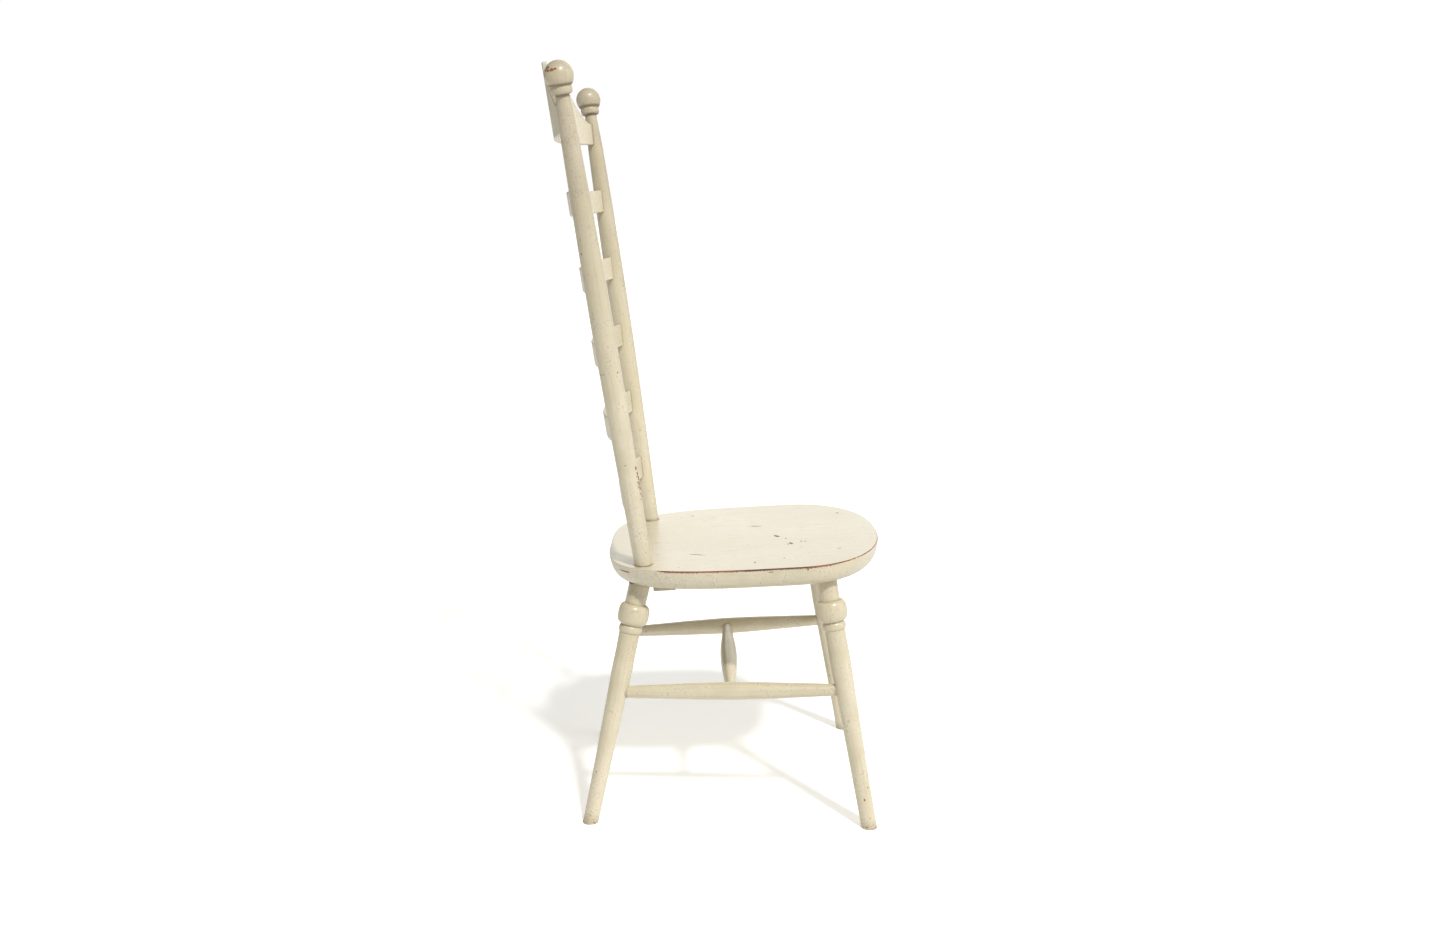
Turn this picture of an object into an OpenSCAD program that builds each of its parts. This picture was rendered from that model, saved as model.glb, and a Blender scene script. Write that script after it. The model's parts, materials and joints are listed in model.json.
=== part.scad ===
// Tall ladder-back dining chair with a plank seat.
// Millimetres. +Z is up, the chair faces -Y, and the left and right sides mirror across X = 0.
// The origin is on the floor, under the middle of the whole chair.
// Right and left are those of the person sitting in it, so right is -X.

/* [Seat] */
// Width of the seat at its widest
seat_w = 444; // [400:1:540]
// Depth of the seat from front edge to rear edge
seat_d = 448; // [400:1:540]
// Thickness of the seat boards
seat_t = 34; // [30:1:44]
// Height of the top of the seat at its front edge
seat_h = 441; // [380:1:520]
// Slope of the seat down towards the rear, in degrees
seat_slope = 2.9; // [0:0.1:5]
// Distance of the widest line behind the front edge
seat_widest = 150; // [110:1:200]
// Roundness of the front half, where 2 is an ellipse and more is squarer
front_round = 2.3; // [2:0.1:4]
// Roundness of the rear half
rear_round = 3.5; // [2:0.1:5]
// How far the side of the seat curves in towards the underside
edge_tuck = 20; // [4:1:26]
// Thickness of the tongue between two boards
tongue_t = 8; // [5:0.5:12]
// Width of the tongue between two boards
tongue_w = 9; // [5:0.5:12]
// How far the tongue stops short of the front and rear edges
tongue_stop = 36; // [30:1:60]

/* [Legs] */
// Front leg sockets, in from the widest line of the seat
front_leg_side_in = 55.6; // [50:0.1:80]
// Front leg sockets, behind the front edge
front_leg_edge_in = 100; // [85:1:130]
// Front feet, sideways out from their sockets
front_foot_splay = 46.2; // [20:0.1:80]
// Front feet, behind the front edge of the seat
front_foot_in = 26.3; // [0:0.1:90]
// Rear legs, behind the posts at the lower ends of the posts
rear_leg_behind = 8.1; // [0:0.1:14]
// Wood left in the seat between a post's tenon and the rear leg's tenon
tenon_web = 2; // [1:0.1:8]
// Rear feet, sideways out from their sockets
rear_foot_splay = 55.6; // [20:0.1:80]
// Rear feet, out behind the rear edge of the seat
rear_foot_out = 26.6; // [-20:0.1:80]
// Diameter of the leg where it meets the seat
leg_neck_d = 35; // [30:0.5:38]
// Diameter of the turned ball under the neck
leg_ball_d = 50; // [44:0.5:58]
// Length of the turned ball along the leg
leg_ball_l = 34; // [26:1:42]
// Distance from the seat to the middle of the ball
leg_ball_drop = 53.5; // [46:0.5:70]
// Diameter of the ring under the ball
leg_ring_d = 38; // [35:0.5:44]
// Length of the ring along the leg
leg_ring_l = 12; // [8:0.5:16]
// Diameter of the leg at its swelling
leg_swell_d = 33.4; // [30:0.1:40]
// Diameter of the foot
foot_d = 25; // [22:0.1:32]
// Diameter of the tenon that goes up into the seat
leg_tenon_d = 22; // [18:0.5:26]
// Depth of the leg socket in the seat
leg_socket_depth = 24; // [16:1:26]

/* [Stretchers] */
// Height of the side stretchers at the front legs
stretcher_front_h = 222.5; // [150:0.5:280]
// Height of the side stretchers at the rear legs
stretcher_rear_h = 209.7; // [150:0.5:280]
// Diameter of a side stretcher at its ends
side_end_d = 17.5; // [14:0.5:20]
// Diameter of a side stretcher at its middle
side_mid_d = 29; // [24:0.5:34]
// Diameter of the cross stretcher at its ends
cross_end_d = 17; // [14:0.5:19]
// Diameter of the cross stretcher at its middle
cross_mid_d = 29; // [22:0.5:34]
// How far a stretcher goes past the axis of the piece it enters
stretcher_past_axis = 2; // [-2:0.5:4]

/* [Posts] */
// Posts, in from the widest line of the seat
post_side_in = 65.4; // [58:0.1:68]
// Posts, in from the rear edge of the seat
post_edge_in = 61.5; // [46:0.5:70]
// Lean of the back from upright, in degrees
back_rake = 8.28; // [4:0.01:16]
// Outward lean of each post in the plane of the back, in degrees
post_splay = 7.64; // [2:0.01:9]
// Diameter of a post where it meets the seat
post_base_d = 28; // [26:0.5:32]
// Diameter of a post at its swelling
post_swell_d = 34.4; // [32:0.1:40]
// Height of the swelling along the post
post_swell_at = 360; // [300:5:420]
// Diameter of a post where it starts to narrow to its neck
post_upper_d = 26.6; // [25:0.1:32]
// Diameter of the neck under the finial
post_neck_d = 20.6; // [18:0.1:24]
// Length of the taper from the post down to its neck
post_neck_l = 62; // [50:1:80]
// Diameter of the finial ball
finial_d = 43; // [36:0.5:50]
// Diameter of the collar under the ball
collar_d = 32.5; // [28:0.5:38]
// Length of the collar along the post
collar_l = 13.5; // [10:0.5:18]
// Distance from the top of the neck to the middle of the ball
ball_rise = 27; // [24:0.5:34]
// Middle of the ball, below the top of the crest
ball_drop = 43; // [30:0.5:60]
// Diameter of the tenon that goes down into the seat
post_tenon_d = 20; // [16:0.5:24]
// Depth of the post socket in the seat
post_socket_depth = 24; // [16:1:26]

/* [Slats] */
// Height of one slat
slat_h = 38; // [30:1:46]
// Open height between two slats
slat_gap = 79.6; // [60:0.1:90]
// Thickness of the slats and the crest
slat_t = 9; // [7:0.5:12]
// How far past the post's axis the end of a slat goes
slat_past_axis = 3; // [0:0.5:6]
// Backward bow of the lowest slat
low_bow = 25.5; // [15:0.5:40]
// Backward bow of the other slats
slat_bow = 32.5; // [20:0.5:45]
// Backward bow of the crest
crest_bow = 38; // [20:0.5:50]
// Height of the crest at its ends
crest_end_h = 36; // [30:1:44]
// Height of the crest at its middle
crest_mid_h = 121; // [90:1:140]
// Part of that height that is the gentle crown of its top
crest_crown = 5; // [0:0.5:10]
// Half width of the crest's flat top, as a share of the half span
crest_flat = 0.22; // [0.1:0.01:0.4]
// Where the crest's top comes down to its end height, as a share of the half span
crest_foot = 0.95; // [0.8:0.01:1]

/* [Batten] */
// Width of the batten under the seat, front to rear
batten_w = 36; // [30:1:50]
// Thickness of the batten
batten_t = 16; // [12:1:20]
// Length of the batten across the seat
batten_l = 280; // [200:1:320]
// Gap between the batten and the rear leg necks
batten_gap = 3; // [2:0.5:8]
// Number of wood screws in the batten
screw_count = 3; // [3:2:5]
// Diameter of the screw shank
screw_d = 4; // [3:0.5:5]
// Diameter of the screw head
screw_head_d = 8; // [6:0.5:10]
// Length of a screw
screw_l = 32; // [26:1:36]

/* [Fits] */
// Clearance around a tenon, a tongue or a slat end
joint_gap = 0.1; // [0.05:0.01:0.3]

/* [Hidden] */
board_count = 3;
slat_count = 5;
paint = [0.88, 0.85, 0.74];
shade = [0.80, 0.76, 0.64];
steel = [0.62, 0.60, 0.56];
$fn = 72;
fuse = 1;      // overlap between two pieces of one solid
far = 800;     // longer than any cut has to be

// Places on the seat. The seat's own frame has its origin at the top of the front edge.
crest_v = slat_count * slat_h + (slat_count + 1) * slat_gap;
post_y = seat_d - post_edge_in;
reach = post_y * cos(seat_slope) + (crest_v + crest_mid_h) * sin(back_rake)
    + (crest_bow + slat_t / 2) * cos(back_rake);
seat_front = -reach / 2;
function seat_point(x, y, z) = [
    x,
    seat_front + y * cos(seat_slope) + z * sin(seat_slope),
    seat_h - y * sin(seat_slope) + z * cos(seat_slope),
];
board_w = seat_w / board_count;

// Places on the back. The back's own frame stands on the seat between the posts and leans back.
back_origin = seat_point(0, post_y, 0);
post_x = seat_w / 2 - post_side_in;
ball_at = (crest_v + crest_mid_h - ball_drop) / cos(post_splay);
neck_at = ball_at - ball_rise;
function post_axis_x(v) = post_x + v * tan(post_splay);
function slat_v(i) = slat_gap + i * (slat_h + slat_gap);
function bow_radius(half, bow) = (half * half + bow * bow) / (2 * bow);

// Lower end of a post in the seat. The rear leg's tenon passes it on the inner side, clear by the web.
post_lean = back_rake - seat_slope;
post_end_x = post_x - post_socket_depth * tan(post_splay) / cos(post_lean);
post_end_y = post_y - post_socket_depth * tan(post_lean);
tenons_apart = (post_tenon_d + leg_tenon_d) / 2 + tenon_web;
rear_leg_x = post_end_x - sqrt(pow(tenons_apart, 2) - pow(rear_leg_behind, 2));
rear_leg_pass = seat_point(-rear_leg_x, post_end_y + rear_leg_behind, -post_socket_depth);

// Places of the right-hand legs and stretcher. The left-hand pieces mirror the right-hand ones.
function at_height(a, b, h) = a + (b - a) * (h - a[2]) / (b[2] - a[2]);
function mirrored(p) = [-p[0], p[1], p[2]];
function above_underside(p) =
    (p - seat_point(0, 0, -seat_t)) * [0, sin(seat_slope), cos(seat_slope)];
function at_underside(a, b) =
    a + (b - a) * above_underside(a) / (above_underside(a) - above_underside(b));
front_top = seat_point(front_leg_side_in - seat_w / 2, front_leg_edge_in, -seat_t);
front_foot = [front_top[0] - front_foot_splay, seat_front + front_foot_in, 0];
rear_foot = [-rear_leg_x - rear_foot_splay, seat_front + seat_d + rear_foot_out, 0];
rear_top = at_underside(rear_foot, rear_leg_pass);
front_joint = at_height(front_foot, front_top, stretcher_front_h);
rear_joint = at_height(rear_foot, rear_top, stretcher_rear_h);
middle_joint = (front_joint + rear_joint) / 2;

// Smooth step from 0 at a to 1 at b.
function eased(t) = t <= 0 ? 0 : t >= 1 ? 1 : t * t * (3 - 2 * t);
function step_between(u, a, b) = eased((u - a) / (b - a));

// Stands a shape made along +Z on the line from a to b.
module along(a, b) {
    d = b - a;
    translate(a)
        rotate([0, acos(d[2] / norm(d)), atan2(d[1], d[0])])
            children();
}

module seat_frame() {
    translate(seat_point(0, 0, 0))
        rotate([-seat_slope, 0, 0])
            children();
}

module back_frame() {
    translate(back_origin)
        rotate([-back_rake, 0, 0])
            children();
}

// Frame of the right-hand post: its origin is on the seat and its axis is Z.
module post_frame() {
    back_frame()
        translate([-post_x, 0, 0])
            rotate([0, -post_splay, 0])
                children();
}

module left_hand() {
    mirror([1, 0, 0])
        children();
}

// Seat outline: two half superellipses that share their widest line.
function power(s, e) = sign(s) * pow(abs(s), e);
function outline(inset) = [
    for (a = [0 : 3.75 : 359])
        let (
            e = 2 / (sin(a) < 0 ? front_round : rear_round),
            reach_y = sin(a) < 0 ? seat_widest : seat_d - seat_widest
        )
        [
            (seat_w / 2 - inset) * power(cos(a), e),
            seat_widest + (reach_y - inset) * power(sin(a), e),
        ]
];

// The whole seat before it is divided: flat on top, its side curving in to the underside.
module seat_blank() {
    layers = [0, 0.35, 0.55, 0.72, 0.85, 0.94, 1];
    skin = 0.01;
    hull()
        for (u = layers)
            translate([0, 0, -u * (seat_t - skin) - skin])
                linear_extrude(skin)
                    polygon(outline(edge_tuck * (1 - sqrt(1 - u * u))));
}

// Tongue on the edge of a board at x, pointing to +X.
module tongue(x, gap) {
    translate([x - fuse, tongue_stop - gap, -(seat_t + tongue_t) / 2 - gap])
        cube([tongue_w + fuse, seat_d - 2 * (tongue_stop - gap), tongue_t + 2 * gap]);
}

module slab(x0, x1) {
    translate([x0, -fuse, -seat_t - fuse])
        cube([x1 - x0, seat_d + 2 * fuse, seat_t + 2 * fuse]);
}

module leg_socket(foot, top) {
    along(top, top + (top - foot))
        translate([0, 0, -far / 8])
            cylinder(h = far / 8 + leg_socket_depth, d = leg_tenon_d + 2 * joint_gap);
}

module post_socket() {
    post_frame()
        translate([0, 0, -post_socket_depth])
            cylinder(h = far / 8, d = post_tenon_d + 2 * joint_gap);
}

module right_sockets() {
    leg_socket(front_foot, front_top);
    leg_socket(rear_foot, rear_top);
    post_socket();
}

// One board of the seat, from x0 to x1, with a groove on its right edge and a tongue on its left.
module board(x0, x1, groove, tongued) {
    seat_frame()
        difference() {
            union() {
                intersection() {
                    seat_blank();
                    slab(x0, x1);
                }
                if (tongued) tongue(x1, 0);
            }
            if (groove) tongue(x0, joint_gap);
            screw_holes();
        }
}

// Half profile of a leg, from its foot end at 0 up to the seat at length.
function leg_radius(u, length) =
    let (
        ball = abs(u - leg_ball_drop) / (leg_ball_l / 2),
        ring_mid = leg_ball_drop + leg_ball_l / 2 + 1.5 + leg_ring_l / 2,
        ring = abs(u - ring_mid) / (leg_ring_l / 2),
        swell_at = ring_mid + 66,
        groove = leg_neck_d / 2 - 1.2,
        t = (u - swell_at) / (length - swell_at)
    )
    ball < 1 ? groove + (leg_ball_d / 2 - groove) * sqrt(1 - ball * ball * ball) :
    ring < 1 ? groove + (leg_ring_d / 2 - groove) * sqrt(1 - ring * ring) :
    u < ring_mid ? groove + 0.8 * abs(1 - u / (leg_ball_drop - leg_ball_l / 2)) :
    u < swell_at ? leg_swell_d / 2 - 0.6 * (swell_at - u) / (swell_at - ring_mid) :
    foot_d / 2 + (leg_swell_d - foot_d) / 2 * pow(1 - t, 1.5);

module leg(foot, top) {
    length = norm(top - foot);
    ball_top = leg_ball_drop - leg_ball_l / 2;
    ball_low = leg_ball_drop + leg_ball_l / 2;
    ring_low = ball_low + 1.5 + leg_ring_l;
    stops = concat(
        [-10, 0, ball_top / 2, ball_top],
        [for (k = [1 : 11]) ball_top + leg_ball_l * (1 - cos(k * 15)) / 2],
        [ball_low, ball_low + 1.5],
        [for (k = [1 : 5]) ball_low + 1.5 + leg_ring_l * (1 - cos(k * 30)) / 2],
        [ring_low],
        [for (k = [1 : 12]) ring_low + (length - ring_low) * k / 12],
        [length + 14]
    );
    profile = [for (u = stops) [leg_radius(min(u, length), length), length - u]];
    intersection() {
        difference() {
            along(foot, top)
                rotate_extrude()
                    polygon(concat([[0, -14], [0, length + 10]], profile));
            seat_frame()
                translate([-far / 2, -far / 4, -seat_t])
                    cube([far, 1.5 * far, far / 4]);
        }
        translate([-far / 2, -far / 2, 0])
            cube([far, far, far]);
    }
    along(top, top + (top - foot))
        translate([0, 0, -leg_ball_drop / 2])
            cylinder(h = leg_ball_drop / 2 + leg_socket_depth, d = leg_tenon_d);
}

// Turned stretcher from a to b, entering the pieces whose axes pass through a and b.
module stretcher(a, b, end_d, mid_d, fullness, gap = 0) {
    length = norm(b - a) + 2 * stretcher_past_axis;
    steps = 24;
    function bulge(t) = fullness > 1 ? pow(cos(90 * t), fullness) : 1 - pow(t, 1.4);
    radii = [
        for (k = [0 : steps])
            [end_d / 2 + (mid_d - end_d) / 2 * bulge(abs(2 * k / steps - 1)), length * k / steps]
    ];
    along(a, b)
        translate([0, 0, -stretcher_past_axis])
            rotate_extrude()
                polygon(concat([[0, 0]], [for (p = radii) [p[0] + gap, p[1]]], [[0, length]]));
}

module side_stretcher_body(gap = 0) {
    stretcher(rear_joint, front_joint, side_end_d, side_mid_d, 1, gap);
}

module cross_stretcher_body(gap = 0) {
    stretcher(middle_joint, mirrored(middle_joint), cross_end_d, cross_mid_d, 2, gap);
}

module socketed_leg(foot, top) {
    difference() {
        leg(foot, top);
        side_stretcher_body(joint_gap);
    }
}

module side_stretcher() {
    difference() {
        side_stretcher_body();
        cross_stretcher_body(joint_gap);
    }
}

// Half profile of a post at the distance s up from the seat.
function post_radius(s) =
    let (
        upper = neck_at - post_neck_l,
        rise = s / post_swell_at,
        fall = (s - post_swell_at) / (upper - post_swell_at),
        neck = (s - upper) / post_neck_l
    )
    s < post_swell_at ? post_base_d / 2 + (post_swell_d - post_base_d) / 2 * sin(90 * max(rise, 0)) :
    s < upper ? post_swell_d / 2 - (post_swell_d - post_upper_d) / 2 * (1 - cos(90 * fall)) :
    post_upper_d / 2 - (post_upper_d - post_neck_d) / 2 * neck;

module post_turning() {
    upper = neck_at - post_neck_l;
    collar_mid = neck_at + 1 + collar_l / 2;
    stops = concat(
        [-8],
        [for (k = [0 : 24]) upper * k / 24],
        [for (k = [1 : 4]) upper + post_neck_l * k / 4]
    );
    shaft = [for (s = stops) [post_radius(s), s]];
    collar = [
        for (k = [1 : 9])
            [
                post_neck_d / 2 + (collar_d - post_neck_d) / 2 * sqrt(sin(k * 18)),
                collar_mid - cos(k * 18) * collar_l / 2,
            ]
    ];
    top = collar_mid + collar_l / 2;
    rotate_extrude()
        polygon(concat([[0, -8]], shaft, [[post_neck_d / 2, neck_at + 1]], collar,
            [[post_neck_d / 2 + 2, top], [0, top]]));
    translate([0, 0, ball_at])
        sphere(d = finial_d);
}

// A slat or the crest in the back's frame: a band bowed backward, cut to an outline seen from the front.
module bowed(points, half, bow, thick) {
    r = bow_radius(half, bow);
    intersection() {
        translate([0, bow - r, 0])
            difference() {
                cylinder(h = far * 1.25, r = r + thick / 2, $fn = 240);
                translate([0, 0, -fuse])
                    cylinder(h = far * 1.25 + 2 * fuse, r = r - thick / 2, $fn = 240);
            }
        translate([0, bow + thick, 0])
            rotate([90, 0, 0])
                linear_extrude(bow + 4 * thick)
                    polygon(points);
    }
}

module ladder_slat_body(i, gap = 0) {
    v0 = slat_v(i) - gap;
    v1 = slat_v(i) + slat_h + gap;
    x0 = post_axis_x(v0) + slat_past_axis;
    x1 = post_axis_x(v1) + slat_past_axis;
    half = post_axis_x(slat_v(i) + slat_h / 2);
    back_frame()
        bowed([[-x0, v0], [x0, v0], [x1, v1], [-x1, v1]], half,
            i == 0 ? low_bow : slat_bow, slat_t + 2 * gap);
}

module crest_body(gap = 0) {
    v0 = crest_v - gap;
    v1 = crest_v + crest_end_h + gap;
    x0 = post_axis_x(v0) + slat_past_axis;
    x1 = post_axis_x(v1) + slat_past_axis;
    half = post_axis_x(crest_v + crest_end_h / 2);
    rise = crest_mid_h - crest_end_h - crest_crown;
    top = [
        for (k = [40 : -1 : -40])
            let (u = crest_foot * k / 40)
            [
                half * u,
                v1 + rise * (1 - step_between(abs(u), crest_flat, crest_foot))
                    + crest_crown * pow(cos(90 * k / 40), 2),
            ]
    ];
    back_frame()
        bowed(concat([[-x0, v0], [x0, v0], [x1, v1]], top, [[-x1, v1]]), half,
            crest_bow, slat_t + 2 * gap);
}

module post() {
    difference() {
        union() {
            difference() {
                post_frame() post_turning();
                seat_frame()
                    translate([-far / 2, -far / 4, -far / 4])
                        cube([far, 1.5 * far, far / 4]);
            }
            post_frame()
                translate([0, 0, -post_socket_depth])
                    cylinder(h = 2 * post_socket_depth, d = post_tenon_d);
        }
        for (i = [0 : slat_count - 1])
            ladder_slat_body(i, joint_gap);
        crest_body(joint_gap);
    }
}

module ladder_slat(i) {
    color(paint) ladder_slat_body(i);
}

// Batten and its screws, in the seat's frame. The batten lies just in front of the rear legs.
rear_leg_y = (rear_top - seat_point(0, 0, 0)) * [0, cos(seat_slope), -sin(seat_slope)];
batten_y = rear_leg_y - leg_neck_d / 2 - batten_gap - batten_w / 2;
screw_step = (batten_l - 40) / (screw_count - 1);

module at_screws() {
    for (k = [0 : screw_count - 1])
        translate([(k - (screw_count - 1) / 2) * screw_step, batten_y, -seat_t - batten_t])
            children();
}

module screw(gap) {
    head_h = (screw_head_d - screw_d) / 2;
    cylinder(h = head_h, d1 = screw_head_d + 2 * gap, d2 = screw_d + 2 * gap);
    cylinder(h = screw_l, d = screw_d + 2 * gap);
}

module screw_holes() {
    at_screws() screw(joint_gap);
}

module seat_board_right() {
    color(paint)
        difference() {
            board(-seat_w, -board_w / 2, false, true);
            right_sockets();
        }
}

module seat_board_middle() {
    color(paint) board(-board_w / 2, board_w / 2, true, true);
}

module seat_board_left() {
    color(paint)
        difference() {
            board(board_w / 2, seat_w, true, false);
            left_hand() right_sockets();
        }
}

module leg_front_right() {
    color(paint) socketed_leg(front_foot, front_top);
}

module leg_front_left() {
    color(paint) left_hand() socketed_leg(front_foot, front_top);
}

module leg_rear_right() {
    color(paint) socketed_leg(rear_foot, rear_top);
}

module leg_rear_left() {
    color(paint) left_hand() socketed_leg(rear_foot, rear_top);
}

module side_stretcher_right() {
    color(paint) side_stretcher();
}

module side_stretcher_left() {
    color(paint) left_hand() side_stretcher();
}

module cross_stretcher() {
    color(paint) cross_stretcher_body();
}

module post_right() {
    color(paint) post();
}

module post_left() {
    color(paint) left_hand() post();
}

module crest_slat() {
    color(paint) crest_body();
}

module rear_batten() {
    color(shade)
        seat_frame()
            difference() {
                translate([-batten_l / 2, batten_y - batten_w / 2, -seat_t - batten_t])
                    cube([batten_l, batten_w, batten_t]);
                screw_holes();
            }
}

module batten_screws() {
    color(steel)
        seat_frame()
            at_screws()
                screw(0);
}

seat_board_right();
seat_board_middle();
seat_board_left();
leg_front_right();
leg_front_left();
leg_rear_right();
leg_rear_left();
side_stretcher_right();
side_stretcher_left();
cross_stretcher();
post_right();
post_left();
ladder_slat(0);  // ladder_slat_1
ladder_slat(1);  // ladder_slat_2
ladder_slat(2);  // ladder_slat_3
ladder_slat(3);  // ladder_slat_4
ladder_slat(4);  // ladder_slat_5
crest_slat();
rear_batten();
batten_screws();
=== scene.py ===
import json
import math
import bmesh
import bpy
import numpy as np
from mathutils import Matrix, Vector


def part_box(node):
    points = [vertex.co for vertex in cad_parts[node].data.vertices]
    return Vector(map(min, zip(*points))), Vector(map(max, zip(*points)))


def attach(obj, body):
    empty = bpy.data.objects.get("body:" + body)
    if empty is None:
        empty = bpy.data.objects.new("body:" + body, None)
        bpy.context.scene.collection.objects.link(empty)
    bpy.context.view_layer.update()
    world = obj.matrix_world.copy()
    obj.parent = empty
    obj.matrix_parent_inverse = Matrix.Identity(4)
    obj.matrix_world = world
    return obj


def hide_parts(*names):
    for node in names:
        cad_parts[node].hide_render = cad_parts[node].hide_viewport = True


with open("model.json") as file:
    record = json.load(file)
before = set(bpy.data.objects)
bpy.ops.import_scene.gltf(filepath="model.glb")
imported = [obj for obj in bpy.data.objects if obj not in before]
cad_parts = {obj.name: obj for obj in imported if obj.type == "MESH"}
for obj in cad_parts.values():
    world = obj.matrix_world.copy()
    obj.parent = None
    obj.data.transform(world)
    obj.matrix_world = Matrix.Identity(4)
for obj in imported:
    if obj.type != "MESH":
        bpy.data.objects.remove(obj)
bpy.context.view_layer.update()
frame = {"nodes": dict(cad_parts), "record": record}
scene = bpy.context.scene
print("frame loaded,", len(frame["nodes"]), "nodes")

# Everything is in metres. The chair faces -Y, and right is the sitter's right, -X.
feet = {m["name"]: Vector(m["pos_m"]) for m in frame["record"]["mounts"]}
seatLow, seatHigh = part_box("seat_board_middle")

seat = {
    "halfWidth": -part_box("seat_board_right")[0].x,
    "depth": 0.448,
    "thick": 0.034,
    "slope": math.radians(2.9),
    "widest": 0.150,       # widest line, behind the front edge
    "frontRound": 2.3,     # 2 is an ellipse, more is squarer
    "rearRound": 3.5,
    "tuck": 0.020,         # how far the side curves in underneath
    "arris": 0.0014,       # rounding of the top edge
    "wornArris": 0.0014,   # more rounding where the paint is rubbed through
    "around": 960,         # points round the edge
    "boardHalf": 0.074,    # seams of the middle board
    "shy": 0.00015,        # paint rubbed back all round
    "cup": 0.00012,        # how far each board has hollowed
    "wave": 0.00018,
    "sideRub": (0.70, 0.0030, 0.0014),     # how much, how far below the top, and over what height
    # the side darkens towards the bottom, and the underside is darker
    "sideDarkening": 0.42,
    "underDarkening": 0.3,
    "postDirt": (0.0142, 0.020, 0.6),      # from and to, away from the joint's middle, and how much
    "legDirt": (0.0172, 0.030, 0.7),
}

back = {
    "rake": math.radians(8.28),
    "splay": math.radians(7.64),
    "postX": seat["halfWidth"] - 0.0654,
    "postY": seat["depth"] - 0.0615,
    "slatHeight": 0.038,
    "slatGap": 0.0796,
    "slatThick": 0.009,
    "slatPast": 0.003,
    "slatCount": 5,
}


def seatFrame():
    origin = Vector((0, seatLow.y, seatHigh.z))
    return Matrix.Translation(origin) @ Matrix.Rotation(-seat["slope"], 4, "X")


def backFrame():
    origin = seatFrame() @ Vector((0, back["postY"], 0))
    return Matrix.Translation(origin) @ Matrix.Rotation(-back["rake"], 4, "X")


def postFrame(side):
    lean = Matrix.Rotation(side * back["splay"], 4, "Y")
    return backFrame() @ Matrix.Translation((side * back["postX"], 0, 0)) @ lean


def standing(a, b):
    # puts a piece's own Z on the line from a to b
    d = b - a
    toward = Matrix.Rotation(math.atan2(d.y, d.x), 4, "Z")
    lean = Matrix.Rotation(d.angle(Vector((0, 0, 1))), 4, "Y")
    return Matrix.Translation(a) @ toward @ lean


def postAxisX(v):
    return back["postX"] + v * math.tan(back["splay"])


def smooth(x, a, b):
    t = np.clip((np.asarray(x, float) - a) / (b - a), 0, 1)
    return t * t * (3 - 2 * t)


def near(x, at, width):
    return np.exp(-((np.asarray(x, float) - at) / width) ** 2)


def drift(seed, *parts):
    # slow, even wander between -1 and 1, the same on every run
    total = 0
    for k, part in enumerate(parts):
        wave = np.sin(part * (1.3 + 0.37 * k) + seed * (2.1 + k))
        total = total + wave * np.cos(part * 0.61 - seed * 1.7 + k)
    return total / len(parts)


def meshed(name, mesh):
    data = bpy.data.meshes.new(name)
    mesh.to_mesh(data)
    mesh.free()
    return data


def placed(name, mesh, matrix):
    # "grain" keeps each piece's own coordinates, so that the wood runs along it wherever it leans
    own = np.zeros(len(mesh.vertices) * 3, np.float32)
    mesh.vertices.foreach_get("co", own)
    mesh.attributes.new("grain", "FLOAT_VECTOR", "POINT").data.foreach_set("vector", own)
    mesh.transform(matrix)
    mesh.shade_smooth()
    piece = bpy.data.objects.new(name, mesh)
    scene.collection.objects.link(piece)
    return piece


def skinned(name, points, rows, columns, matrix, wear, grimeAndShade, flip=False):
    # joins rings of points into one closed piece, with a fan over the first and the last ring
    count, base = len(points), (rows - 1) * columns
    ends = np.array([points[:columns].mean(0), points[base:].mean(0)])
    faces = []
    for low in range(0, base, columns):
        high = low + columns
        for j in range(columns):
            k = (j + 1) % columns
            faces.append((low + j, low + k, high + k, high + j))
    for j in range(columns):
        k = (j + 1) % columns
        faces += [(count, k, j), (count + 1, base + j, base + k)]
    if flip:
        faces = [tuple(reversed(face)) for face in faces]
    mesh = bpy.data.meshes.new(name)
    mesh.from_pydata(np.vstack([points, ends]).tolist(), [], faces)
    mesh.update()
    for key, values in (("grimeAndShade", grimeAndShade), ("wear", wear)):
        values = np.append(np.clip(values, 0, 1), (0, 0)).astype(np.float32)
        mesh.attributes.new(key, "FLOAT", "POINT").data.foreach_set("value", values)
    return placed(name, mesh, matrix)


turning = {
    "sides": 96,
    "uneven": 0.006,    # how far out of round, as a share of the radius
}


def turned(name, stops, radii, matrix, grimeAndShade, wear, seed, cut=None):
    # stops run along local Z from low to high, radii go with them
    sides = turning["sides"]
    a, s = np.meshgrid(np.linspace(0, 2 * math.pi, sides, endpoint=False), stops)
    r = radii[:, None] * (1 - turning["uneven"] * (1 + drift(seed, s * 31, a * 2 + s * 7)))
    points = np.stack([r * np.cos(a), r * np.sin(a), s], -1).reshape(-1, 3)
    if cut:
        points = cut(points)
    return skinned(name, points, len(stops), sides, matrix, np.repeat(wear, sides), np.repeat(grimeAndShade, sides))


print("shapes: seat")


def outline(angles, inset):
    c, s = np.cos(angles), np.sin(angles)
    e = 2 / np.where(s < 0, seat["frontRound"], seat["rearRound"])
    reach = np.where(s < 0, seat["widest"], seat["depth"] - seat["widest"])
    inset = inset + seat["shy"]
    x = (seat["halfWidth"] - inset) * np.sign(c) * np.abs(c) ** e
    y = seat["widest"] + (reach - inset) * np.sign(s) * np.abs(s) ** e
    return x, y


def evenAngles(count):
    dense = np.linspace(0, 2 * math.pi, 40001)
    x, y = outline(dense, 0)
    run = np.concatenate([[0], np.cumsum(np.hypot(np.diff(x), np.diff(y)))])
    return np.interp(np.linspace(0, run[-1], count, endpoint=False), run, dense)


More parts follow.
